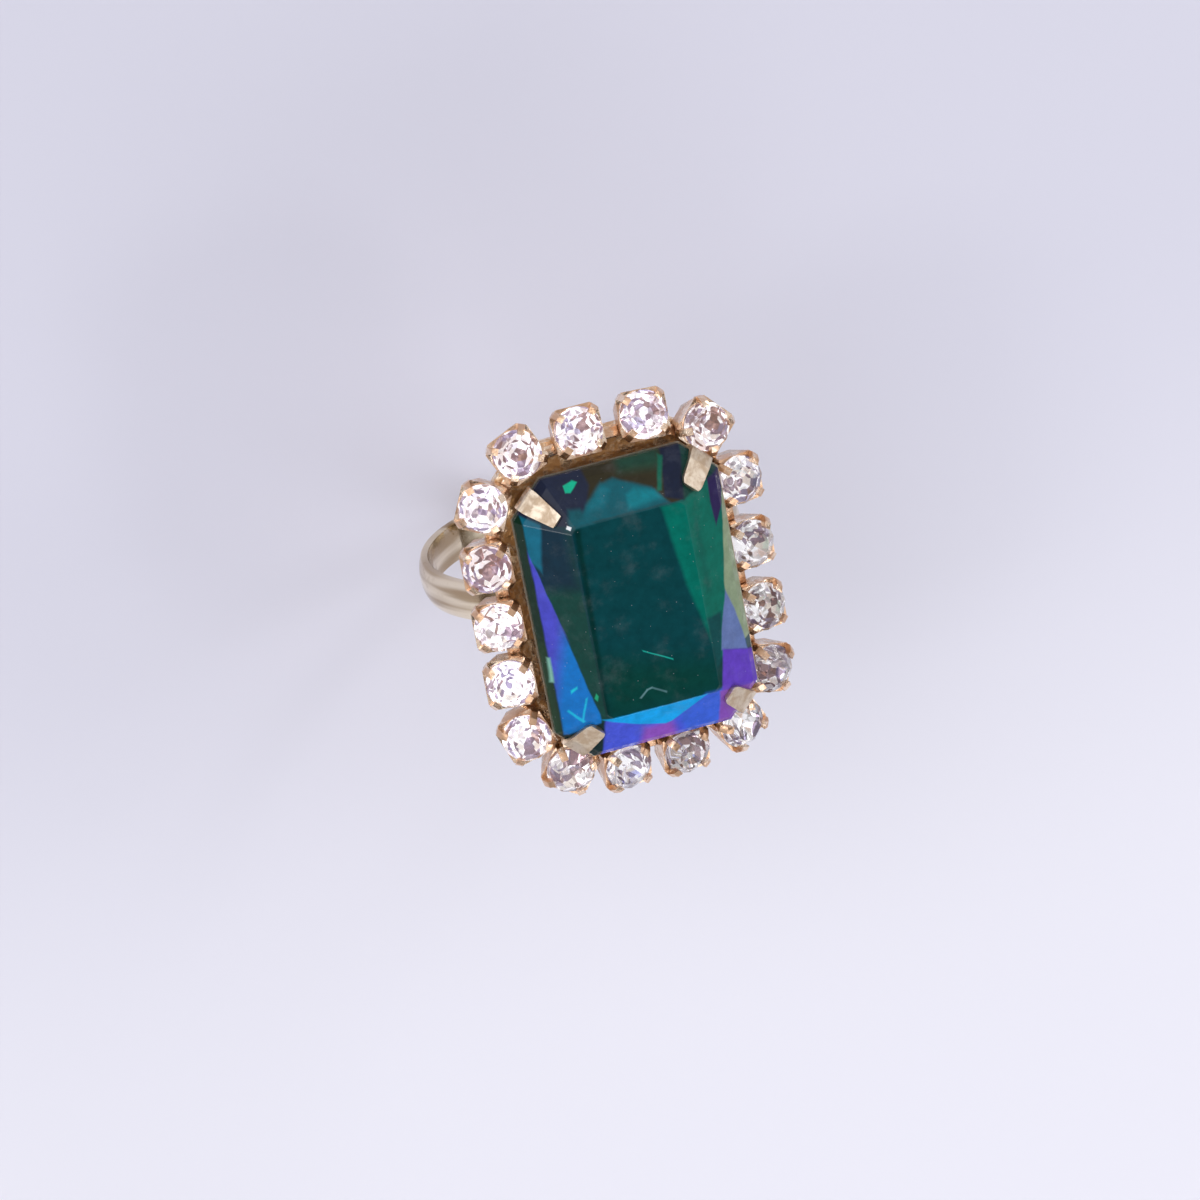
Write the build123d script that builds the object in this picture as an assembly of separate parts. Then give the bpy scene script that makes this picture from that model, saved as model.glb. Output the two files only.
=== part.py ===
from build123d import *
import math
import os

# A dress ring: a large cut-corner stone in a four-claw setting, ringed by a chain of small
# round stones in square claw cups, all soldered to an open plate on a closed finger band.
# Millimetres. The origin is the centre of the finger bore, +Z points up through the head,
# +Y is the finger's axis and the long axis of the large stone, and +X runs across the finger.

# Finger band
bore_radius = 9.45
band_width = 2.5
band_thickness = 0.75
band_edge_thickness = 0.45
band_edge_round = 0.12
band_flat_drop = 0.2          # filed off the crown of the band where the head is soldered on
head_slide = 0.3              # along Y: the head is soldered on a little off the middle of the band

# Large stone
stone_length = 18.0
stone_width = 13.0
stone_corner = 2.1            # how much of each side the cut corner takes
girdle_thickness = 0.3
crown_height = 2.25
crown_step_height = 0.6       # the steep lower step of the crown
crown_step_inset = 0.4
table_side_margin = 2.9       # from the girdle in to the flat top, at the long sides
table_end_margin = 2.8
table_corner = 0.35
pavilion_depth = 2.9
pavilion_step_depth = 1.3
pavilion_step_inset = 1.6
keel_length = 7.0
keel_width = 0.4
keel_corner = 0.1

# Claw setting of the large stone
setting_wall = 0.3
rim_overhang = 0.1            # how far the wall's rim stands out past the girdle above it
foot_inset = 1.4              # how far the foot of the wall stands in from its rim
claw_width = 1.5
claw_tip_widths = (1.3, 0.8, 1.2, 1.2)    # anticlockwise from the +X +Y corner
claw_reach = 1.75             # length of the claw that lies on the stone
claw_thickness = 0.3
claw_clearance = 0.05         # between the girdle and the claw
claw_root = 0.9               # how far the claw runs down the wall, from the middle of the girdle
claw_bend = 0.28              # rounding of the bend over the girdle
claw_tip_rounding = 0.42      # of the tip's width

# Small round stones
small_diameter = 3.0
small_girdle = 0.12
small_crown_height = 0.65
small_table = 1.6             # across the flats of the table
small_star_angle = 25.0       # slope of the little facets beside the table
small_pavilion_depth = 1.3
small_culet = 0.06
small_facets = 8

# Cups of the small stones
cup_lip = 0.05                # the cup's side stands this far outside the small girdle
cup_corner = 0.45             # the corner cut that a claw stands on
cup_taper = 0.12              # how far each side leans in from the top to the foot
cup_base_corner = 0.85
cup_inner_corner = 0.45
cup_wall = 0.28
cup_floor = 0.25
culet_clearance = 0.14        # between the small stone's point and the floor of its cup
cup_tilt = 15.0               # degrees that each cup leans outwards
leaning_cups = {6: 5.0, 7: 12.0, 8: 9.0, 9: 9.0}    # degrees, onwards along the chain
small_claw_width = 0.45
small_claw_thickness = 0.28
small_claw_proud = 0.02       # how far a claw stands above the table of its stone
small_claw_reach = 0.65       # how far the claw leans in over the stone
small_claw_root = 0.5

# Chain of cups
halo_drop = 1.2               # the small girdles lie this far below the large one
cup_side_gap = 0.1            # between the setting's rim and the cups at its sides
cup_end_gap = 0.25            # and at its ends
halo_corner_radius = 5.4
least_cup_gap = 0.26          # between neighbours, as a share of the cup's side
chain_drift = 0.7             # how far the hand-laid chain wanders from even spacing
drift_start = 1.5             # cups laid before that wander passes through even spacing
first_cup = 0.88              # pitches from the middle of the +Y side to the first cup
chain_slide = (-0.2, 0.1)     # the hand-laid chain also lies a little off the middle of the head
link_width = 0.7
link_thickness = 0.35
link_depth = 1.2              # below the small girdles
link_inset = 0.6              # in from the line of cup centres, towards the large stone

# Plate and cup rail under the head
plate_thickness = 0.4
plate_ledge = 0.6             # width of plate inside the foot of the setting
bridge_width = 3.6
keel_clearance = 0.15
rail_outer_inset = 0.65       # from the line of cup centres in to the rail's outer face
rail_width = 1.0

# The cup that fits the small stone
small_radius = small_diameter / 2
cup_side = small_diameter + 2 * cup_lip
cup_base_side = cup_side - 2 * cup_taper
cup_depth = small_girdle / 2 + small_pavilion_depth + culet_clearance + cup_floor
small_claw_rise = small_girdle / 2 + small_crown_height + small_claw_proud

# Heights that follow from these
plate_bottom = bore_radius + band_thickness - band_flat_drop
plate_top = plate_bottom + plate_thickness
keel_height = plate_top + keel_clearance
girdle_bottom = keel_height + pavilion_depth
girdle_middle = girdle_bottom + girdle_thickness / 2
girdle_top = girdle_bottom + girdle_thickness
halo_height = girdle_middle - halo_drop

# Plan sizes that follow from these
half_width = stone_width / 2
half_length = stone_length / 2
crown_step_corner = stone_corner - crown_step_inset / 2
pavilion_step_corner = stone_corner - pavilion_step_inset / 2
tilt = math.radians(cup_tilt)
halo_reach = rim_overhang + cup_side / 2 * math.cos(tilt)
halo_half_width = half_width + halo_reach + cup_side_gap
halo_half_length = half_length + halo_reach + cup_end_gap
rail_inner_inset = rail_outer_inset + rail_width

os.makedirs("parts", exist_ok=True)


def octagon(half_x, half_y, corner, height):
    """A rectangle with four equally cut corners, flat at the given height."""
    corners = [
        (half_x, corner - half_y), (half_x, half_y - corner),
        (half_x - corner, half_y), (corner - half_x, half_y),
        (-half_x, half_y - corner), (-half_x, corner - half_y),
        (corner - half_x, -half_y), (half_x - corner, -half_y),
    ]
    return Pos(0, 0, height) * make_face(Polyline(*corners, close=True))


def save(shape, name, slide_y=head_slide):
    shape = Pos(0, slide_y, 0) * shape
    shape.label = name
    export_step(shape, f"parts/{name}.step")


def make_band():
    half_band = band_width / 2
    rim_radius = bore_radius + band_edge_thickness
    crown_radius = bore_radius + band_thickness
    inner = Line((bore_radius, -half_band), (bore_radius, half_band))
    upper = Line((bore_radius, half_band), (rim_radius, half_band))
    dome = ThreePointArc((rim_radius, half_band), (crown_radius, 0), (rim_radius, -half_band))
    lower = Line((rim_radius, -half_band), (bore_radius, -half_band))
    section = make_face(Curve() + [inner, upper, dome, lower])
    section = fillet(section.vertices(), band_edge_round)
    band = revolve(section, Axis.Y, 360)
    above_flat = Pos(0, 0, plate_bottom) * Box(
        4 * crown_radius, 2 * band_width, crown_radius, align=(Align.CENTER, Align.CENTER, Align.MIN)
    )
    return band - above_flat


def make_large_stone():
    step_x = half_width - pavilion_step_inset
    step_y = half_length - pavilion_step_inset
    table_x = half_width - table_side_margin
    table_y = half_length - table_end_margin
    crown_step_z = girdle_top + crown_step_height
    sections = [
        octagon(keel_width / 2, keel_length / 2, keel_corner, keel_height),
        octagon(step_x, step_y, pavilion_step_corner, girdle_bottom - pavilion_step_depth),
        octagon(half_width, half_length, stone_corner, girdle_bottom),
        octagon(half_width, half_length, stone_corner, girdle_top),
        octagon(
            half_width - crown_step_inset, half_length - crown_step_inset,
            crown_step_corner, crown_step_z,
        ),
        octagon(table_x, table_y, table_corner, girdle_top + crown_height),
    ]
    return loft(sections, ruled=True)


def make_large_claw(tip_width):
    """One claw, with the middle of the stone's cut corner at the origin and +X outwards."""
    # Along the diagonal, the crown's step and table stand this far in from the girdle.
    step_in = math.sqrt(2) * (crown_step_inset + (crown_step_corner - stone_corner) / 2)
    margin = (table_side_margin + table_end_margin) / 2
    table_in = math.sqrt(2) * (margin + (table_corner - stone_corner) / 2)
    facet = math.atan2(crown_height - crown_step_height, table_in - step_in)
    along = Vector(-math.cos(facet), math.sin(facet))
    across = Vector(math.sin(facet), math.cos(facet)) * claw_thickness
    step_z = girdle_thickness / 2 + crown_step_height
    knee = Vector(-step_in, step_z)
    tip = knee + along * claw_reach
    wall_in = claw_clearance
    wall_out = claw_clearance + claw_thickness
    shoulder_z = girdle_thickness / 2 + crown_step_height / 2
    # Below the girdle the claw follows the slope of the wall that it is soldered to.
    lean = (claw_root - girdle_thickness / 2) * foot_inset / (girdle_bottom - plate_top)
    outline = [
        (wall_in - lean, -claw_root), (wall_out - lean, -claw_root),
        (wall_out, -girdle_thickness / 2), (wall_out, shoulder_z),
        (knee.X + across.X, knee.Y + across.Y), (tip.X + across.X, tip.Y + across.Y), (tip.X, tip.Y),
        (knee.X, knee.Y), (wall_in, girdle_thickness / 2), (wall_in, -girdle_thickness / 2),
    ]
    profile = make_face(Polyline(*outline, close=True))
    bends = [v for v in profile.vertices() if v.Y > shoulder_z - 0.01 and v.X > -step_in + 0.01]
    profile = fillet(bends, claw_bend)
    claw = extrude(Plane.XZ * profile, claw_width / 2, both=True)
    tip_in = tip.X
    plan = make_face(Polyline(
        (wall_out, -claw_width / 2), (wall_out, claw_width / 2), (0, claw_width / 2),
        (tip_in, tip_width / 2), (tip_in, -tip_width / 2), (0, -claw_width / 2),
        close=True,
    ))
    tips = plan.vertices().sort_by(Axis.X)[:2]
    plan = fillet(tips, tip_width * claw_tip_rounding)
    cutter = Pos(0, 0, -claw_root) * extrude(plan, claw_root + girdle_top)
    return claw & cutter


def make_setting(stone):
    rim_x = half_width + rim_overhang
    rim_y = half_length + rim_overhang
    foot_x = rim_x - foot_inset
    foot_y = rim_y - foot_inset
    # A ring of even wall has a corner cut that shrinks by (2 - sqrt 2) of the inset.
    corner_share = 2 - math.sqrt(2)
    rim_corner = stone_corner + rim_overhang * corner_share
    foot_corner = rim_corner - foot_inset * corner_share
    wall_share = setting_wall * corner_share
    shell = loft([
        octagon(foot_x, foot_y, foot_corner, plate_top),
        octagon(rim_x, rim_y, rim_corner, girdle_bottom),
    ], ruled=True)
    hollow = loft([
        octagon(foot_x - setting_wall, foot_y - setting_wall, foot_corner - wall_share, plate_top),
        octagon(rim_x - setting_wall, rim_y - setting_wall, rim_corner - wall_share, girdle_bottom),
    ], ruled=True)
    setting = shell - hollow
    claw_x = half_width - stone_corner / 2
    claw_y = half_length - stone_corner / 2
    corners = ((1, 1), (-1, 1), (-1, -1), (1, -1))
    for (side_x, side_y), tip_width in zip(corners, claw_tip_widths):
        turn = math.degrees(math.atan2(side_y, side_x))
        place = Location((side_x * claw_x, side_y * claw_y, girdle_middle), (0, 0, turn))
        setting += place * make_large_claw(tip_width)
    return setting - stone


def eight_sided(across_flats, height, turn=0.0):
    shape = RegularPolygon(across_flats / 2, small_facets, major_radius=False, rotation=turn)
    return Pos(0, 0, height) * shape


def make_small_stone():
    """A round stone with its girdle's middle at the origin and its table upwards."""
    half_turn = 180 / small_facets
    crown_top = small_girdle / 2 + small_crown_height
    culet_z = -small_girdle / 2 - small_pavilion_depth
    blank = Pos(0, 0, culet_z) * Cylinder(
        small_radius, crown_top - culet_z, align=(Align.CENTER, Align.CENTER, Align.MIN)
    )
    mains = loft([
        eight_sided(small_culet, culet_z),
        eight_sided(small_diameter, -small_girdle / 2),
        eight_sided(small_diameter, small_girdle / 2),
        eight_sided(small_table, crown_top),
    ], ruled=True)
    star_run = 2 * (crown_top - culet_z) / math.tan(math.radians(small_star_angle))
    stars = loft([
        eight_sided(small_table + star_run, culet_z, half_turn),
        eight_sided(small_table, crown_top, half_turn),
    ], ruled=True)
    return blank & mains & stars


def cup_outline(side, corner, height):
    return octagon(side / 2, side / 2, corner, height)


def make_cup_blank():
    """The outside of a cup without its claws, in the frame of its stone."""
    return loft([
        cup_outline(cup_base_side, cup_base_corner, -cup_depth),
        cup_outline(cup_side, cup_corner, -small_girdle),
    ], ruled=True)


def make_cup(blank, stone):
    inner_base = cup_base_side - 2 * cup_wall
    inner_top = cup_side - 2 * cup_wall
    hollow = loft([
        cup_outline(inner_base, cup_inner_corner, cup_floor - cup_depth),
        cup_outline(inner_top, cup_inner_corner, -small_girdle),
    ], ruled=True)
    cup = blank - hollow
    # The claws stand on the cut corners and lean in over the stone.
    face = (cup_side - cup_corner) / math.sqrt(2)
    inner = face - small_claw_thickness
    tip = face - small_claw_reach
    outline = [
        (inner, -small_claw_root), (face, -small_claw_root), (face, small_girdle),
        (face - small_claw_thickness, small_claw_rise * 0.75), (tip, small_claw_rise),
        (tip, 0), (inner, 0),
    ]
    profile = make_face(Polyline(*outline, close=True))
    claw = extrude(Plane.XZ * profile, small_claw_width / 2, both=True)
    for quarter in range(4):
        cup += Rot(0, 0, 45 + 90 * quarter) * claw
    return cup - stone


def halo_path(inset=0.0):
    """The line of cup centres in plan, clockwise from the middle of the +Y side."""
    x = halo_half_width - inset
    y = halo_half_length - inset
    radius = halo_corner_radius - inset
    turn_x = x - radius
    turn_y = y - radius
    return Pos(*chain_slide, 0) * Wire([
        Line((0, y), (turn_x, y)),
        CenterArc((turn_x, turn_y), radius, 90, -90),
        Line((x, turn_y), (x, -turn_y)),
        CenterArc((turn_x, -turn_y), radius, 0, -90),
        Line((turn_x, -y), (-turn_x, -y)),
        CenterArc((-turn_x, -turn_y), radius, 270, -90),
        Line((-x, -turn_y), (-x, turn_y)),
        CenterArc((-turn_x, turn_y), radius, 180, -90),
        Line((-turn_x, y), (0, y)),
    ])


def halo_outline(inset, height):
    width = 2 * (halo_half_width - inset)
    length = 2 * (halo_half_length - inset)
    return Pos(*chain_slide, height) * RectangleRounded(width, length, halo_corner_radius - inset)


path = halo_path()
cup_count = int(path.length // (cup_side * (1 + least_cup_gap)))
pitch = path.length / cup_count


def cup_distances():
    """How far along the path each cup stands; the hand-laid chain wanders a little."""
    distances = []
    for number in range(cup_count):
        drift = chain_drift * math.sin(2 * math.pi * (number - drift_start) / cup_count)
        distances.append((first_cup + number) * pitch + drift)
    return distances


def cup_planes(along_path, distances):
    """A plane for each cup: X along the chain, Z out through the stone's table."""
    planes = []
    for number, distance in enumerate(distances, start=1):
        spot = distance % along_path.length
        point = along_path.position_at(spot, position_mode=PositionMode.LENGTH)
        onward = along_path.tangent_at(spot, position_mode=PositionMode.LENGTH)
        outward = Vector(-onward.Y, onward.X, 0)
        facing = outward * math.sin(tilt) + Vector(0, 0, math.cos(tilt))
        upright = Plane(
            origin=(point.X, point.Y, halo_height), x_dir=(onward.X, onward.Y, 0),
            z_dir=(facing.X, facing.Y, facing.Z),
        )
        planes.append(upright.rotated((0, leaning_cups.get(number, 0.0), 0)))
    return planes


def make_link(plane, next_plane, blank):
    """A flat bar between two neighbouring cups, cut to their outer faces."""
    start = plane.from_local_coords(Vector(0, -link_inset, -link_depth))
    end = next_plane.from_local_coords(Vector(0, -link_inset, -link_depth))
    span = end - start
    facing = plane.z_dir + next_plane.z_dir
    level = facing - span * (facing.dot(span) / span.dot(span))
    bar_plane = Plane(origin=(start + end) * 0.5, x_dir=span, z_dir=level)
    bar = bar_plane * Box(span.length, link_width, link_thickness)
    return bar - plane * blank - next_plane * blank


def rail_height(inset):
    """The height of the cups' feet, at this distance in from the line of cup centres."""
    foot_inset_here = cup_depth * math.sin(tilt)
    foot_height = halo_height - cup_depth * math.cos(tilt)
    return foot_height + (inset - foot_inset_here) * math.tan(tilt)


def make_rail(planes, blank):
    rail = loft([
        halo_outline(rail_outer_inset, plate_top),
        halo_outline(rail_outer_inset, rail_height(rail_outer_inset)),
        halo_outline(rail_inner_inset, rail_height(rail_inner_inset)),
    ], ruled=True)
    opening = extrude(halo_outline(rail_inner_inset, plate_top), girdle_top - plate_top)
    rail -= opening
    # A cup that leans sinks one edge of its foot into the rail.
    for number in leaning_cups:
        rail -= planes[number - 1] * blank
    return rail


def make_plate():
    plate = extrude(halo_outline(rail_outer_inset, plate_bottom), plate_thickness)
    foot_x = half_width + rim_overhang - foot_inset
    foot_y = half_length + rim_overhang - foot_inset
    window = extrude(
        octagon(foot_x - plate_ledge, foot_y - plate_ledge, table_corner, plate_bottom),
        plate_thickness,
    )
    bridge = Pos(0, 0, plate_bottom) * Box(
        stone_width, bridge_width, plate_thickness, align=(Align.CENTER, Align.CENTER, Align.MIN)
    )
    return plate - (window - bridge)


distances = cup_distances()
planes = cup_planes(path, distances)
large_stone = make_large_stone()
small_stone = make_small_stone()
cup_blank = make_cup_blank()
cup = make_cup(cup_blank, small_stone)

save(make_band(), "finger_band", slide_y=0.0)
save(make_plate(), "base_plate")
save(make_rail(planes, cup_blank), "cup_rail")
save(make_setting(large_stone), "stone_setting")
save(large_stone, "centre_stone")
for number, plane in enumerate(planes, start=1):
    next_plane = planes[number % cup_count]
    save(plane * cup, f"claw_cup_{number:02d}")
    save(plane * small_stone, f"rhinestone_{number:02d}")
    save(make_link(plane, next_plane, cup_blank), f"chain_link_{number:02d}")

print("cups:", cup_count, "pitch:", round(pitch, 3), "girdle height:", round(girdle_middle, 3))
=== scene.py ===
import math

import bpy
from mathutils import Euler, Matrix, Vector


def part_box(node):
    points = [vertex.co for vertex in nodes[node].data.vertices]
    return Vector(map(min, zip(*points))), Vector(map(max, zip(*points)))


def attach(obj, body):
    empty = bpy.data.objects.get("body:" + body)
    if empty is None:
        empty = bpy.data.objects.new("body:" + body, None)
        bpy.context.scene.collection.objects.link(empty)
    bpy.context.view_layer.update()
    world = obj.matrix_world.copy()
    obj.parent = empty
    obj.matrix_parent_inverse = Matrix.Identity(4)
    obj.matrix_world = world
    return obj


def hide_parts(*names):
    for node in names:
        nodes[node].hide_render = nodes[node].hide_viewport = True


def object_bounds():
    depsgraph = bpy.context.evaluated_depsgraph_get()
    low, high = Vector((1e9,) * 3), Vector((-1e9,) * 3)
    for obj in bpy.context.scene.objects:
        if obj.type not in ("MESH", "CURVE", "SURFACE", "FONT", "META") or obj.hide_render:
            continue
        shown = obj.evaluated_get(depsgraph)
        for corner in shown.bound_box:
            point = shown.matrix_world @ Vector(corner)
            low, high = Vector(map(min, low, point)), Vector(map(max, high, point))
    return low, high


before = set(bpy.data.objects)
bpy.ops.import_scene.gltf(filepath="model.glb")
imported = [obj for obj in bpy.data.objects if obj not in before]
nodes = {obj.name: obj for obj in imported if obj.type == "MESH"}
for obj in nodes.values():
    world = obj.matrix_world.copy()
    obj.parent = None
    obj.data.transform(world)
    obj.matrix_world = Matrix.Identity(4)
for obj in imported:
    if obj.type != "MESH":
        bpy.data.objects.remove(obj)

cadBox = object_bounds()
mm = 0.001
print("frame loaded:", len(nodes), "nodes")

# The middle of the large stone's girdle is what the camera looks at.
stoneLow, stoneHigh = (Vector(corner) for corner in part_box("centre_stone"))
girdleRise = 3.05 * mm        # from the stone's keel up to the middle of its girdle
stoneMiddle = (stoneLow + stoneHigh) / 2
stoneMiddle.z = stoneLow.z + girdleRise

cameraView = {
    "tip": -16.33, "lean": -14.89, "turn": -10.86,    # degrees about X, Y and Z
    "distance": 400 * mm, "lens": 197.8, "sensor": 36, "slideLeft": 2.18 * mm,
}


def addCamera():
    view = cameraView
    turn = Euler([math.radians(view[k]) for k in ("tip", "lean", "turn")]).to_matrix()
    camera = bpy.data.objects.new("camera", bpy.data.cameras.new("camera"))
    bpy.context.scene.collection.objects.link(camera)
    camera.data.lens = view["lens"]
    camera.data.sensor_width = view["sensor"]
    camera.data.clip_start = 0.01
    camera.data.clip_end = 20
    camera.matrix_world = turn.to_4x4()
    camera.location = stoneMiddle + turn @ Vector((-view["slideLeft"], 0, view["distance"]))
    bpy.context.scene.camera = camera


addCamera()
print("camera placed")


def deselectAll():
    if bpy.context.mode != "OBJECT":
        bpy.ops.object.mode_set(mode="OBJECT")
    bpy.ops.object.select_all(action="DESELECT")


def activate(piece):
    deselectAll()
    piece.select_set(True)
    bpy.context.view_layer.objects.active = piece


meshClean = {"weldReach": 0.002 * mm, "flatAngle": math.radians(0.5)}


def mergedCopy(nodeName, pieceName):
    # A CAD node's mesh is loose triangles, so the copy is welded and its flat faces are joined.
    source = nodes[nodeName]
    piece = bpy.data.objects.new(pieceName, source.data.copy())
    bpy.context.scene.collection.objects.link(piece)
    activate(piece)
    bpy.ops.object.mode_set(mode="EDIT")
    bpy.ops.mesh.select_all(action="SELECT")
    bpy.ops.mesh.remove_doubles(threshold=meshClean["weldReach"])
    bpy.ops.mesh.dissolve_limited(angle_limit=meshClean["flatAngle"])
    bpy.ops.object.mode_set(mode="OBJECT")
    return piece


def softenEdges(piece, width, segments, angle):
    # Cast and polished edges are never sharp; this also gives them their thin highlight.
    activate(piece)
    bevel = piece.modifiers.new("soften", "BEVEL")
    bevel.width = width
    bevel.segments = segments
    bevel.limit_method = "ANGLE"
    bevel.angle_limit = math.radians(angle)
    bevel.use_clamp_overlap = True
    bpy.ops.object.modifier_apply(modifier="soften")
    bpy.ops.object.shade_smooth_by_angle(angle=math.radians(angle))


def setMaterials(piece, *materials):
    piece.data.materials.clear()
    for material in materials:
        piece.data.materials.append(material)


def replaceNode(piece, nodeName):
    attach(piece, "root")
    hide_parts(nodeName)


def screenColour(code):
    # A colour as a screen shows it, such as "0b4048", to linear light with an alpha of 1.
    parts = [int(code[i:i + 2], 16) / 255 for i in (0, 2, 4)]
    return tuple(v / 12.92 if v < 0.04045 else ((v + 0.055) / 1.055) ** 2.4 for v in parts) + (1,)


def newMaterial(name):
    material = bpy.data.materials.new(name)
    material.use_nodes = True
    return material, material.node_tree.nodes["Principled BSDF"]


def setSockets(shader, values):
    for socket, value in values.items():
        shader.inputs[socket].default_value = value


def newGroup(name, inputs, outputs):
    group = bpy.data.node_groups.new(name, "ShaderNodeTree")
    for socketName, kind, value in inputs:
        socket = group.interface.new_socket(socketName, in_out="INPUT", socket_type="NodeSocket" + kind)
        if value is not None:
            socket.default_value = value
    for socketName, kind in outputs:
        group.interface.new_socket(socketName, in_out="OUTPUT", socket_type="NodeSocket" + kind)
    return group, group.nodes.new("NodeGroupInput"), group.nodes.new("NodeGroupOutput")


def addMath(tree, operation, first, second=None, third=None):
    node = tree.nodes.new("ShaderNodeMath")
    node.operation = operation
    for socket, value in zip(node.inputs, (first, second, third)):
        if isinstance(value, bpy.types.NodeSocket):
            tree.links.new(value, socket)
        elif value is not None:
            socket.default_value = value
    return node.outputs[0]


def addVectorMath(tree, operation, first, second=None, scale=None):
    node = tree.nodes.new("ShaderNodeVectorMath")
    node.operation = operation
    for socket, value in zip(node.inputs, (first, second)):
        if isinstance(value, bpy.types.NodeSocket):
            tree.links.new(value, socket)
        elif value is not None:
            socket.default_value = value
    if scale is not None:
        if isinstance(scale, bpy.types.NodeSocket):
            tree.links.new(scale, node.inputs["Scale"])
        else:
            node.inputs["Scale"].default_value = scale
    return node.outputs["Value"] if operation in ("DOT_PRODUCT", "LENGTH", "DISTANCE") else node.outputs[0]


def addNoise(tree, place, scale, detail=2.0, roughness=0.5, distortion=0.0):
    node = tree.nodes.new("ShaderNodeTexNoise")
    tree.links.new(place, node.inputs["Vector"])
    values = {"Scale": scale, "Detail": detail, "Roughness": roughness, "Distortion": distortion}
    for socket, value in values.items():
        if isinstance(value, bpy.types.NodeSocket):
            tree.links.new(value, node.inputs[socket])
        else:
            node.inputs[socket].default_value = value
    return node.outputs["Fac"]


def addRange(tree, value, fromLow, fromHigh, toLow=0.0, toHigh=1.0, smooth=True):
    node = tree.nodes.new("ShaderNodeMapRange")
    node.interpolation_type = "SMOOTHSTEP" if smooth else "LINEAR"
    tree.links.new(value, node.inputs["Value"])
    edges = {"From Min": fromLow, "From Max": fromHigh, "To Min": toLow, "To Max": toHigh}
    for socket, edge in edges.items():
        if isinstance(edge, bpy.types.NodeSocket):
            tree.links.new(edge, node.inputs[socket])
        else:
            node.inputs[socket].default_value = edge
    return node.outputs["Result"]


def addMix(tree, factor, first, second, blend="MIX"):
    node = tree.nodes.new("ShaderNodeMix")
    node.data_type = "RGBA"
    node.blend_type = blend
    for socket, value in ((node.inputs[0], factor), (node.inputs[6], first), (node.inputs[7], second)):
        if isinstance(value, bpy.types.NodeSocket):
            tree.links.new(value, socket)
        else:
            socket.default_value = value
    return node.outputs[2]


def placeInMillimetres(tree):
    # Measured from the middle of the large stone's girdle.
    here = tree.nodes.new("ShaderNodeTexCoord").outputs["Object"]
    fromMiddle = addVectorMath(tree, "SUBTRACT", here, tuple(stoneMiddle))
    return addVectorMath(tree, "SCALE", fromMiddle, scale=1 / mm)


def addGroup(tree, group, **values):
    node = tree.nodes.new("ShaderNodeGroup")
    node.node_tree = group
    for name, value in values.items():
        socket = node.inputs[name.replace("_", " ")]
        if isinstance(value, bpy.types.NodeSocket):
            tree.links.new(value, socket)
        else:
            socket.default_value = value
    return node


def addBump(tree, shader, height, strength, distance):
    bump = tree.nodes.new("ShaderNodeBump")
    bump.inputs["Strength"].default_value = strength
    bump.inputs["Distance"].default_value = distance
    tree.links.new(height, bump.inputs["Height"])
    tree.links.new(bump.outputs["Normal"], shader.inputs["Normal"])


def makePlatingWearAndReflectionStreaks():
    # Thin gold plating: cloudy tarnish, fine pits, hair scratches and a slightly wavy surface.
    # Streaks around the Y axis are painted reflection streaks on a polished band, drawn in the tarnish
    # colour.
    group, into, out = newGroup(
        "platingWearAndReflectionStreaks",
        [("Place", "Vector", None), ("Bright", "Color", None), ("Tarnish", "Color", None),
         ("Tarnish Share", "Float", 0.5), ("Cloud Scale", "Float", 1.0), ("Polish", "Float", 0.12),
         ("Dullness", "Float", 0.3), ("Streaks", "Float", 0.0)],
        [("Color", "Color"), ("Roughness", "Float"), ("Height", "Float")],
    )
    place = into.outputs["Place"]
    clouds = addNoise(group, place, into.outputs["Cloud Scale"], detail=4, roughness=0.62, distortion=0.4)
    edge = addMath(group, "SUBTRACT", 0.78, addMath(group, "MULTIPLY", into.outputs["Tarnish Share"], 0.5))
    tarnish = addRange(group, clouds, addMath(group, "SUBTRACT", edge, 0.22), edge)
    grain = addNoise(group, place, 14.0, detail=3, roughness=0.7)
    pits = addRange(group, grain, 0.62, 0.72)
    streaks = addVectorMath(group, "MULTIPLY", place, (0.7, 9.0, 5.0))
    hairs = addRange(group, addNoise(group, streaks, 3.0, detail=1), 0.63, 0.66)
    wearAndReflectionStreaks = addMath(group, "MAXIMUM", tarnish, addMath(group, "MULTIPLY", pits, 0.6))
    # Painted reflection streaks: darker lines around the Y axis, mixed in with the tarnish colour.
    around = addVectorMath(group, "MULTIPLY", place, (0.1, 1.1, 0.1))
    reflectionStreaks = addRange(group, addNoise(group, around, 1.0, detail=2, roughness=0.5), 0.4, 0.65)
    wearAndReflectionStreaks = addMath(group, "MAXIMUM", wearAndReflectionStreaks, addMath(group, "MULTIPLY", reflectionStreaks, into.outputs["Streaks"]))
    colour = addMix(group, wearAndReflectionStreaks, into.outputs["Bright"], into.outputs["Tarnish"])
    group.links.new(colour, out.inputs["Color"])
    rough = addMath(group, "MULTIPLY_ADD", wearAndReflectionStreaks, into.outputs["Dullness"], into.outputs["Polish"])
    rough = addMath(group, "MULTIPLY_ADD", hairs, 0.12, rough)
    group.links.new(rough, out.inputs["Roughness"])
    waves = addNoise(group, place, 2.2, detail=2)
    swell = addMath(group, "MULTIPLY", waves, 0.7)
    height = addMath(group, "SUBTRACT", swell, addMath(group, "MULTIPLY", pits, 0.12))
    height = addMath(group, "MULTIPLY_ADD", hairs, -0.05, height)
    group.links.new(height, out.inputs["Height"])
    return group


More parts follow.
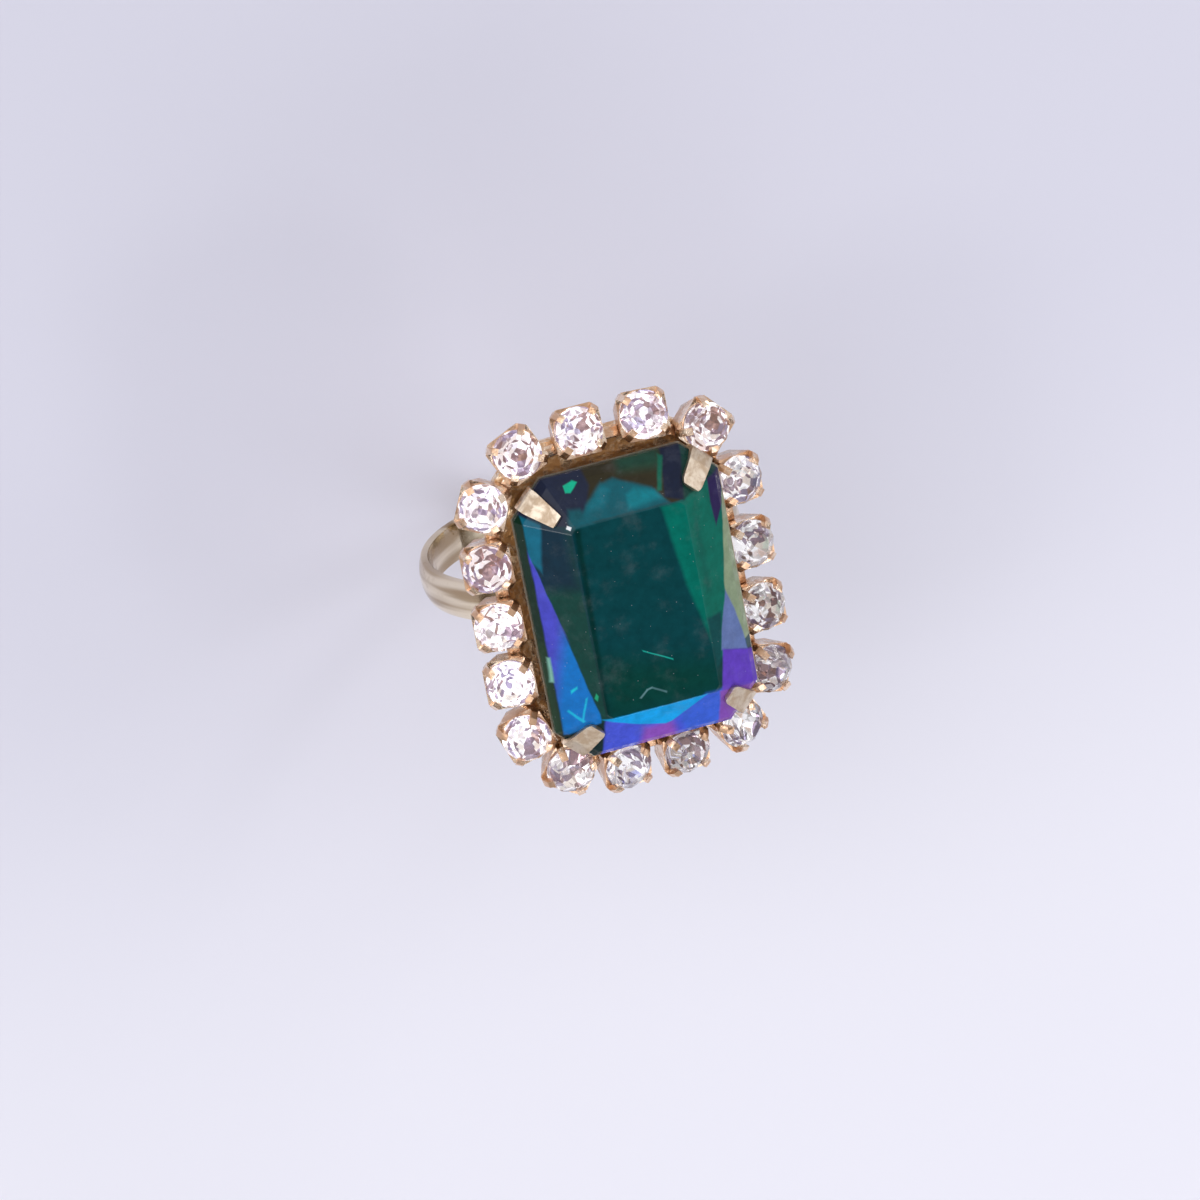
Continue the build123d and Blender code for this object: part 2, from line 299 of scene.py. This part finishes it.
def makeInsideLine():
    # How far a place lies inside a straight edge, or inside the edges before it if that is less.
    group, into, out = newGroup(
        "insideLine",
        [("Place", "Vector", None), ("Inward", "Vector", (1, 0, 0)), ("Offset", "Float", 0.0),
         ("Depth", "Float", 99.0)],
        [("Depth", "Float")],
    )
    across = addVectorMath(group, "DOT_PRODUCT", into.outputs["Place"], into.outputs["Inward"])
    here = addMath(group, "SUBTRACT", across, into.outputs["Offset"])
    group.links.new(addMath(group, "MINIMUM", here, into.outputs["Depth"]), out.inputs["Depth"])
    return group


def makePaintPatch():
    group, into, out = newGroup(
        "paintPatch",
        [("Under", "Color", None), ("Paint", "Color", None), ("Depth", "Float", 0.0),
         ("Softness", "Float", 0.1)],
        [("Color", "Color")],
    )
    half = addMath(group, "MULTIPLY", into.outputs["Softness"], 0.5)
    low = addMath(group, "MULTIPLY", half, -1.0)
    mask = addRange(group, into.outputs["Depth"], low, half)
    group.links.new(addMix(group, mask, into.outputs["Under"], into.outputs["Paint"]), out.inputs["Color"])
    return group


def makeSurfaceDust():
    # Fine lint and grease on a polished stone.
    group, into, out = newGroup(
        "surfaceDust",
        [("Place", "Vector", None), ("Under", "Color", None), ("Dust", "Color", (0.4, 0.42, 0.45, 1)),
         ("Specks", "Float", 0.5), ("Haze", "Float", 0.06)],
        [("Color", "Color"), ("Roughness", "Float")],
    )
    place = into.outputs["Place"]
    cells = group.nodes.new("ShaderNodeTexVoronoi")
    cells.inputs["Scale"].default_value = 1.9
    group.links.new(place, cells.inputs["Vector"])
    specks = addRange(group, cells.outputs["Distance"], 0.07, 0.03)
    specks = addMath(group, "MULTIPLY", specks, into.outputs["Specks"])
    smear = addRange(group, addNoise(group, place, 0.55, detail=5, roughness=0.65), 0.5, 0.75)
    smear = addMath(group, "MULTIPLY", smear, into.outputs["Haze"])
    amount = addMath(group, "MAXIMUM", specks, smear)
    group.links.new(addMix(group, amount, into.outputs["Under"], into.outputs["Dust"]), out.inputs["Color"])
    group.links.new(addMath(group, "MULTIPLY_ADD", amount, 0.5, 0.06), out.inputs["Roughness"])
    return group


platingWearAndReflectionStreaks = makePlatingWearAndReflectionStreaks()
insideLine = makeInsideLine()
paintPatch = makePaintPatch()
surfaceDust = makeSurfaceDust()
print("shader groups made")


def goldPlate(name, finish):
    material, shader = newMaterial(name)
    tree = material.node_tree
    # The group gives the plating's wear and, on the band, its painted reflection streaks.
    worn = addGroup(
        tree, platingWearAndReflectionStreaks, Place=placeInMillimetres(tree),
        Bright=screenColour(finish["bright"]), Tarnish=screenColour(finish["tarnish"]),
        Tarnish_Share=finish["share"], Cloud_Scale=finish["cloudScale"],
        Polish=finish["polish"], Dullness=finish["dullness"], Streaks=finish["streaks"],
    )
    tree.links.new(worn.outputs["Color"], shader.inputs["Base Color"])
    tree.links.new(worn.outputs["Roughness"], shader.inputs["Roughness"])
    shader.inputs["Metallic"].default_value = 1.0
    addBump(tree, shader, worn.outputs["Height"], finish["relief"], platingDepth)
    return material


platingDepth = 0.1 * mm
goldFinishes = {
    # The band's streaks are painted reflection streaks.
    "bandGold": {"bright": "f0e2c8", "tarnish": "9a7c54", "share": 0.1, "cloudScale": 0.5,
                 "polish": 0.06, "dullness": 0.12, "relief": 0.1, "streaks": 0.75},
    "plateGold": {"bright": "fdecd2", "tarnish": "dcae7a", "share": 0.45, "cloudScale": 1.2,
                  "polish": 0.18, "dullness": 0.22, "relief": 0.9, "streaks": 0.0},
    "settingGold": {"bright": "e2d4c0", "tarnish": "c6b096", "share": 0.35, "cloudScale": 1.2,
                    "polish": 0.36, "dullness": 0.15, "relief": 0.12, "streaks": 0.0},
    "cupGold": {"bright": "f8e2ca", "tarnish": "dcb492", "share": 0.4, "cloudScale": 1.1,
                "polish": 0.14, "dullness": 0.18, "relief": 0.6, "streaks": 0.0},
}
gold = {name: goldPlate(name, finish) for name, finish in goldFinishes.items()}


# The colour that the large stone's back coating reflects up through each crown facet is painted on as
# hard-edged patches of painted reflection; the dark navy patches beside the claws are painted reflections
# of the claws, and a few small patches are painted glints. Corners are millimetres in plan, seen from
# above, and later patches lie over earlier ones.
crystal = {
    "base": "0a3f44", "wobble": 0.06, "mottle": 0.35,
    "roughness": 0.35, "underShine": 0.03, "gloss": 0.3, "glossRoughness": 0.02, "glossIndex": 1.56,
}
deepInside = 99.0        # mm, more than any patch's depth, so that its first edge always counts
paintedReflectionPatches = [
    # name, colour, softness, corners; a third number makes the side after that corner that much softer
    ("table lower", "083c36", 2.5, [(-3.8, -6.4), (3.9, -6.4), (3.9, -4.2), (-3.8, -2.2)]),
    ("table left edge", "05302e", 0.3, [(-3.75, -5.8), (-3.45, -5.8), (-3.05, 6.2), (-3.45, 6.2)]),
    ("table wedge", "066a5c", 0.35, [(2.1, 6.2), (2.75, 1.0), (3.9, -4.2), (4.5, -4.2), (6.6, 4.6),
        (6.4, 6.3), (3.6, 6.2)]),
    ("wedge core", "076054", 0.5, [(3.8, 5.0), (4.2, 5.0), (4.1, -2.5), (3.8, -2.5)]),
    ("west inner", "064038", 0.1, [(-3.7, 6.2), (-6.2, 8.2), (-6.2, -8.2), (-3.7, -6.2)]),
    ("west upper", "062c3e", 1.2, [(-3.75, 6.3), (-6.2, 8.0), (-6.2, 2.4), (-3.75, 2.4)]),
    ("west teal", "0b6a84", 0.25, [(-5.15, 6.6), (-6.2, 7.4), (-6.2, 4.6), (-5.6, 3.6)]),
    ("west blue", "0a74c6", 0.12, [(-6.25, 5.5), (-6.2, -8.2), (-3.95, -6.4), (-3.98, -5.8)]),
    ("west violet", "4a4cc4", 0.12, [(-6.25, 5.5), (-6.2, -4.6, 9.0), (-5.05, -0.2)]),
    ("west stroke one", "18c6dc", 0.12, [(-4.9, -3.85), (-5.3, -4.1), (-5.3, -4.3), (-4.9, -4.0)]),
    ("west stroke two", "14b8de", 0.1, [(-4.45, -4.6), (-4.9, -6.1), (-5.0, -6.1), (-4.6, -4.7)]),
    ("west stroke three", "14b8de", 0.12, [(-4.8, -6.15), (-5.6, -5.35), (-5.7, -5.45), (-4.95, -6.25)]),
    ("west glint", "1fa878", 0.1, [(-3.95, -4.4), (-4.1, -4.7), (-3.95, -4.9), (-3.85, -4.6)]),
    ("west step", "0a2c1c", 0.12, [(-6.12, 8.6), (-6.12, -8.6), (-7.0, -8.6), (-7.0, 8.6)]),
    ("west step low", "1c3a22", 0.5, [(-6.2, -1.0), (-6.2, -7.5), (-7.0, -7.5), (-7.0, -1.0)]),
    # A painted glint along the step line.
    ("west mint", "86c4b0", 0.2, [(-6.05, -1.9), (-6.2, -1.9), (-6.3, -3.5), (-6.1, -3.5)]),
    ("north olive", "302b18", 0.1, [(-3.6, 6.25), (3.6, 6.25), (5.6, 9.2), (-5.6, 9.2)]),
    ("north green tint", "1c4636", 0.9, [(0.3, 8.5), (2.9, 8.2), (3.0, 9.2), (0.3, 9.2)]),
    ("north navy", "20283e", 0.3, [(-3.6, 6.25), (-2.35, 6.9), (-1.7, 8.2), (-1.9, 9.2), (-5.6, 9.2)]),
    ("north low teal", "0e5660", 0.4, [(-3.75, 6.2), (-2.2, 6.2), (-2.7, 7.1), (-3.4, 7.2)]),
    ("north arch", "0a5c68", 0.3, [(-3.2, 6.25), (2.7, 6.25), (1.9, 7.3), (-0.2, 8.25), (-0.9, 8.1),
        (-2.3, 7.15)]),
    ("arch left", "0a6c7a", 0.5, [(-2.3, 6.9), (-1.1, 7.0), (-0.6, 7.7), (-1.0, 8.1), (-2.2, 7.2)]),
    ("arch right", "087c88", 0.4, [(0.2, 6.5), (2.3, 6.6), (2.0, 7.1), (0.9, 7.5), (0.3, 7.2)]),
    ("north spot", "0cb48c", 0.1, [(-3.25, 8.5), (-3.25, 8.1), (-2.95, 8.05), (-2.35, 8.5),
        (-2.6, 8.65)]),
    ("north right navy", "141e36", 0.2, [(2.5, 6.6), (3.6, 6.2), (5.2, 9.2), (3.2, 9.2)]),
    ("north strip", "0e6650", 0.2, [(2.15, 7.0), (2.45, 7.0), (3.15, 8.7), (2.9, 8.8)]),
    ("east green", "046858", 0.1, [(3.7, 6.2), (3.7, -2.5), (4.7, -2.2), (5.25, -0.5), (6.35, 5.4),
        (6.3, 8.0)]),
    ("east shade", "075c50", 0.5, [(4.0, 4.8), (4.3, 4.8), (4.3, 0.0), (3.9, 0.0)]),
    ("east olive", "8b9c7e", 0.12, [(6.35, 5.4), (5.3, 0.0), (5.25, -1.0), (5.95, -3.9), (7.0, -3.9),
        (7.0, 5.6)]),
    ("east lower", "07484a", 0.3, [(3.6, -1.5), (4.75, -1.5), (4.1, -4.2), (3.6, -5.0)]),
    ("east violet blue", "6478ac", 0.15, [(5.28, -0.4), (4.5, -2.6), (4.2, -3.8), (6.1, -4.6),
        (6.0, -3.4), (5.7, -1.8)]),
    ("east purple", "6240bc", 0.18, [(4.3, -3.8), (7.0, -5.0), (7.0, -8.4), (5.2, -8.4), (3.7, -6.4)]),
    ("east sliver", "2c2350", 0.15, [(5.5, 7.2), (5.4, 5.3), (5.5, 3.7), (6.2, 4.8), (6.6, 6.2),
        (6.4, 8.2)]),
    ("south violet", "4656d2", 0.1, [(-3.75, -6.25), (-5.4, -9.2), (5.4, -9.2), (3.7, -6.25)]),
    ("south magenta", "8a50ba", 0.7, [(-1.3, -7.6), (0.5, -7.6), (1.0, -9.2), (-1.6, -9.2)]),
    ("south royal", "3a62d6", 0.5, [(0.9, -7.3), (2.7, -6.2), (3.7, -6.2), (3.9, -9.2), (1.6, -9.2)]),
    ("south cyan", "10a0e6", 0.14, [(-3.9, -6.15), (-1.7, -7.15), (0.1, -7.7), (0.5, -7.6),
        (2.75, -6.2)]),
    ("south east corner", "8450b4", 0.2, [(3.6, -6.3), (3.5, -8.9), (6.6, -8.9), (6.2, -6.9)]),
    ("south west corner", "0b2a2c", 0.2, [(-3.75, -6.3), (-6.4, -7.2), (-5.4, -9.2), (-4.0, -9.0)]),
    ("north west corner", "22283e", 0.2, [(-3.6, 6.3), (-4.6, 9.2), (-6.6, 7.4), (-4.2, 6.4)]),
    ("north east corner", "0a3c34", 0.25, [(3.6, 6.2), (6.6, 7.0), (5.4, 9.2), (4.4, 9.0)]),
    # The three curl marks, the corner glint and the long painted glint are painted highlights.
    ("curl left", "5c8488", 0.1, [(-1.42, -5.3), (-0.9, -4.86), (-0.86, -4.96), (-1.32, -5.36)]),
    ("curl top", "5c8488", 0.1, [(-0.92, -4.86), (-0.55, -4.8), (-0.55, -4.9), (-0.9, -4.96)]),
    ("curl right", "4c7478", 0.1, [(-0.55, -4.8), (0.32, -5.3), (0.28, -5.4), (-0.57, -4.9)]),
    ("corner glint", "f4f8fa", 0.06, [(-3.72, 6.4), (-3.5, 6.28), (-3.62, 6.1), (-3.82, 6.22)]),
    ("long painted glint", "1ea090", 0.08, [(-0.72, -2.37), (-0.68, -2.47), (1.07, -3.5), (1.07, -3.4)]),
]


def paintPatches(tree, place, colour, patches):
    for label, code, softness, corners in patches:
        sides = list(zip(corners, corners[1:] + corners[:1]))
        area = sum(a[0] * b[1] - b[0] * a[1] for a, b in sides)
        depth = deepInside
        for start, end in sides:
            start, end = Vector(start), Vector(end)
            blur = start.z if len(start) > 2 else 1.0
            start, end = start.to_2d(), end.to_2d()
            along = (end - start).normalized() * math.copysign(1 / blur, area)
            inward = Vector((-along.y, along.x))
            edge = addGroup(
                tree, insideLine, Place=place, Inward=(*inward, 0), Offset=inward.dot(start), Depth=depth,
            )
            depth = edge.outputs["Depth"]
        patch = addGroup(
            tree, paintPatch, Under=colour, Paint=screenColour(code), Depth=depth, Softness=softness,
        )
        patch.label = label
        colour = patch.outputs["Color"]
    return colour


def coatedCrystal(name):
    material, shader = newMaterial(name)
    tree = material.node_tree
    place = placeInMillimetres(tree)
    noise = tree.nodes.new("ShaderNodeTexNoise")
    noise.inputs["Scale"].default_value = 0.8
    tree.links.new(place, noise.inputs["Vector"])
    shift = addVectorMath(tree, "SUBTRACT", noise.outputs["Color"], (0.5, 0.5, 0.5))
    wobble = addVectorMath(tree, "SCALE", shift, scale=crystal["wobble"] * 2)
    wavy = addVectorMath(tree, "ADD", place, wobble)
    # The crown's colour is painted reflection, laid on patch by patch.
    colour = paintPatches(tree, wavy, screenColour(crystal["base"]), paintedReflectionPatches)
    mottle = addNoise(tree, place, 1.3, detail=5, roughness=0.7)
    half = crystal["mottle"] / 2
    gain = addRange(tree, mottle, 0.3, 0.7, 1 - half, 1 + half, smooth=False)
    grey = tree.nodes.new("ShaderNodeCombineColor")
    for channel in grey.inputs:
        tree.links.new(gain, channel)
    colour = addMix(tree, 1.0, colour, grey.outputs[0], blend="MULTIPLY")
    dust = addGroup(tree, surfaceDust, Place=place, Under=colour)
    tree.links.new(dust.outputs["Color"], shader.inputs["Base Color"])
    setSockets(shader, {
        "Roughness": crystal["roughness"], "Specular IOR Level": crystal["underShine"],
        "Coat Weight": crystal["gloss"], "Coat Roughness": crystal["glossRoughness"],
        "Coat IOR": crystal["glossIndex"],
    })
    return material


def glassTop(name, colour, ior):
    material, shader = newMaterial(name)
    tree = material.node_tree
    place = placeInMillimetres(tree)
    dust = addGroup(tree, surfaceDust, Place=place, Under=(*colour, 1), Haze=0.0, Specks=0.1)
    tree.links.new(dust.outputs["Color"], shader.inputs["Base Color"])
    setSockets(shader, {"Roughness": 0.0, "IOR": ior, "Transmission Weight": 1.0})
    return material


def foilBack(name, bright, worn, roughness, scale):
    material, shader = newMaterial(name)
    tree = material.node_tree
    clouds = addNoise(tree, placeInMillimetres(tree), scale, detail=3, roughness=0.6)
    patches = addRange(tree, clouds, 0.45, 0.65)
    colour = addMix(tree, patches, screenColour(bright), screenColour(worn))
    tree.links.new(colour, shader.inputs["Base Color"])
    setSockets(shader, {"Metallic": 1.0, "Roughness": roughness})
    return material


# Painted highlights, painted reflections and an emission glow for the rhinestones' foil, which is no lamp.
paintedSparkle = {
    "white": "ffffff", "lilac": "9a90ac", "rose": "8e6f62", "cellsPerMm": 2.1, "whiteShare": 0.5,
    "edgeBlend": 0.25, "metallic": 0.9, "roughness": 0.08, "glow": 0.6,
    "keySide": (-0.8, 0.6, 0.0),         # the stones away from the key light return less of it,
    "dimReach": -8.0, "fullReach": 4.0,  # from this many mm along keySide
    "dimmest": 0.3,                      # down to this share
}


def paintedSparkleFoil(name):
    # Painted light on the silvered back of a rhinestone: small white painted highlights with lilac and rose
    # painted reflections between, and an emission glow.
    material, shader = newMaterial(name)
    tree = material.node_tree
    place = placeInMillimetres(tree)
    cells = tree.nodes.new("ShaderNodeTexVoronoi")
    cells.feature = "SMOOTH_F1"
    cells.inputs["Scale"].default_value = paintedSparkle["cellsPerMm"]
    cells.inputs["Smoothness"].default_value = paintedSparkle["edgeBlend"]
    tree.links.new(place, cells.inputs["Vector"])
    chance = tree.nodes.new("ShaderNodeSeparateColor")
    tree.links.new(cells.outputs["Color"], chance.inputs["Color"])
    share = paintedSparkle["whiteShare"]
    lilac, rose = screenColour(paintedSparkle["lilac"]), screenColour(paintedSparkle["rose"])
    tint = addMix(tree, chance.outputs["Green"], lilac, rose)
    dull = addRange(tree, chance.outputs["Red"], share - 0.1, share + 0.15)
    paintedFlash = addMix(tree, dull, screenColour(paintedSparkle["white"]), tint)
    tree.links.new(paintedFlash, shader.inputs["Base Color"])
    # Painted shade: the glow is painted dimmer on stones farther from the key light.
    towardsKey = addVectorMath(tree, "DOT_PRODUCT", place, paintedSparkle["keySide"])
    gain = addRange(tree, towardsKey, paintedSparkle["dimReach"], paintedSparkle["fullReach"], paintedSparkle["dimmest"], 1.0)
    tree.links.new(addVectorMath(tree, "SCALE", paintedFlash, scale=gain), shader.inputs["Emission Color"])
    setSockets(shader, {
        "Metallic": paintedSparkle["metallic"], "Roughness": paintedSparkle["roughness"],
        "Emission Strength": paintedSparkle["glow"],
    })
    return material


crystalTop = coatedCrystal("crystalTop")
crystalFoil = foilBack("crystalFoil", "1b5a58", "3a3322", 0.25, 0.5)
clearGlass = glassTop("clearGlass", (0.99, 0.98, 1.0), 1.56)
silverFoil = paintedSparkleFoil("silverFoil")
print("materials made")

stoneCut = {"edge": 0.035 * mm, "edgeAngle": 5, "foilBelow": -0.05}    # faces that turn down are foiled

largeStone = mergedCopy("centre_stone", "large_stone_cut")
softenEdges(largeStone, stoneCut["edge"], 1, stoneCut["edgeAngle"])
setMaterials(largeStone, crystalTop, crystalFoil)
for face in largeStone.data.polygons:
    face.use_smooth = False
    face.material_index = 1 if face.normal.z < stoneCut["foilBelow"] else 0
replaceNode(largeStone, "centre_stone")

smallNodes = sorted(name for name in nodes if name.startswith("rhinestone_"))
for nodeName in smallNodes:
    stone = mergedCopy(nodeName, nodeName.replace("rhinestone", "small_stone_cut"))
    setMaterials(stone, clearGlass, silverFoil)
    tableFace = max(stone.data.polygons, key=lambda face: face.area * (face.normal.z > 0.5))
    axis = tableFace.normal.copy()
    for face in stone.data.polygons:
        face.material_index = 1 if face.normal.dot(axis) < stoneCut["foilBelow"] else 0
    replaceNode(stone, nodeName)
print("stones cut:", 1 + len(smallNodes))

# name start: new name, finish, edge softening, record slot
metalWork = {
    "finger_band": ("polished_band", "bandGold", 0.04, "band_metal"),
    "base_plate": ("open_plate", "plateGold", 0.05, "plate_metal"),
    "cup_rail": ("solder_rail", "plateGold", 0.08, "plate_metal"),
    "stone_setting": ("claw_setting", "settingGold", 0.07, "setting_metal"),
    "claw_cup": ("small_claw_cup", "cupGold", 0.06, "cup_metal"),
    "chain_link": ("small_chain_link", "cupGold", 0.08, "cup_metal"),
}
for nodeName in sorted(nodes):
    for start, (pieceName, finish, softness, slotName) in metalWork.items():
        if nodeName.startswith(start):
            piece = mergedCopy(nodeName, nodeName.replace(start, pieceName))
            softenEdges(piece, softness * mm, 2, 25)
            setMaterials(piece, gold[finish])
            replaceNode(piece, nodeName)
print("metal softened and plated")

studio = {
    # The floor is painted lighter towards the front, -Y, as painted light falling off from the front light.
    "floorSize": 1.2, "farFloor": "dcdcea", "nearFloor": "eeeef8", "floorRoughness": 0.6,
    "farY": 10.0, "nearY": -40.0,  # mm, where the floor's painted light starts and ends its change
    "skyColour": (0.97, 0.96, 1.0, 1), "skyStrength": 0.73,
    "horizonColour": (0.2, 0.16, 0.13, 1),
    "horizonFoot": 0.02, "horizonTop": 0.42,       # sines of the height where it starts and has gone
    "darkColour": (0.02, 0.02, 0.03, 1), "darkAim": (0.19, -0.32, 0.93),
    "darkEdge": (0.86, 0.95),      # cosines of the angle from the aim where it starts and is full
}
# name: direction, distance, size, watts, colour
softLights = {
    "keyLight": ((-0.6, 0.5, 0.62), 0.5, (0.38, 0.38), 0.5, (1.0, 0.99, 1.0)),
    "frontLight": ((0.15, -0.8, 0.6), 0.42, (0.5, 0.28), 0.6, (0.98, 0.98, 1.0)),
    "sideLight": ((0.85, 0.15, 0.5), 0.5, (0.15, 0.25), 0.25, (0.97, 0.97, 1.0)),
    "leftSpark": ((-0.75, 0.05, 0.65), 0.45, (0.09, 0.09), 0.16, (1.0, 1.0, 1.0)),
    "backSpark": ((0.65, 0.7, 0.4), 0.45, (0.09, 0.09), 0.14, (1.0, 0.98, 0.96)),
    "rightSpark": ((0.55, -0.35, 0.75), 0.45, (0.08, 0.08), 0.12, (1.0, 1.0, 1.0)),
}


def addFloor():
    deselectAll()
    bpy.ops.mesh.primitive_plane_add(size=studio["floorSize"], location=(0, 0, cadBox[0][2]))
    floor = bpy.context.object
    floor.name = "floor"
    bpy.ops.object.transform_apply(location=True, rotation=True, scale=True)
    material, shader = newMaterial("paleFloor")
    tree = material.node_tree
    # Painted light: the floor is painted lighter towards the front.
    depth = tree.nodes.new("ShaderNodeSeparateXYZ")
    tree.links.new(placeInMillimetres(tree), depth.inputs["Vector"])
    near = addRange(tree, depth.outputs["Y"], studio["farY"], studio["nearY"])
    paintedLightTone = addMix(tree, near, screenColour(studio["farFloor"]), screenColour(studio["nearFloor"]))
    tree.links.new(paintedLightTone, shader.inputs["Base Color"])
    shader.inputs["Roughness"].default_value = studio["floorRoughness"]
    setMaterials(floor, material)


def addSoftLight(name, direction, distance, size, power, colour):
    light = bpy.data.lights.new(name, "AREA")
    light.shape = "RECTANGLE"
    light.size, light.size_y = size
    light.energy = power
    light.color = colour
    lamp = bpy.data.objects.new(name, light)
    bpy.context.scene.collection.objects.link(lamp)
    aim = Vector(direction).normalized()
    lamp.location = stoneMiddle + aim * distance
    lamp.rotation_euler = aim.to_track_quat("Z", "Y").to_euler()


def addSky():
    # Pale all round, brown along the horizon, with one dark patch that the stone's table mirrors.
    world = bpy.data.worlds.new("world")
    bpy.context.scene.world = world
    world.use_nodes = True
    tree = world.node_tree
    sky = tree.nodes["Background"]
    upward = tree.nodes.new("ShaderNodeSeparateXYZ")
    skyPlace = tree.nodes.new("ShaderNodeTexCoord")
    tree.links.new(skyPlace.outputs["Generated"], upward.inputs["Vector"])
    aloft = addRange(tree, upward.outputs["Z"], studio["horizonFoot"], studio["horizonTop"])
    room = addMix(tree, aloft, studio["horizonColour"], studio["skyColour"])
    towards = addVectorMath(tree, "DOT_PRODUCT", skyPlace.outputs["Generated"], studio["darkAim"])
    room = addMix(tree, addRange(tree, towards, *studio["darkEdge"]), room, studio["darkColour"])
    tree.links.new(room, sky.inputs["Color"])
    sky.inputs["Strength"].default_value = studio["skyStrength"]


addFloor()
for lightName, values in softLights.items():
    addSoftLight(lightName, *values)
addSky()
bpy.context.scene.view_settings.view_transform = "Standard"
print("studio lit")
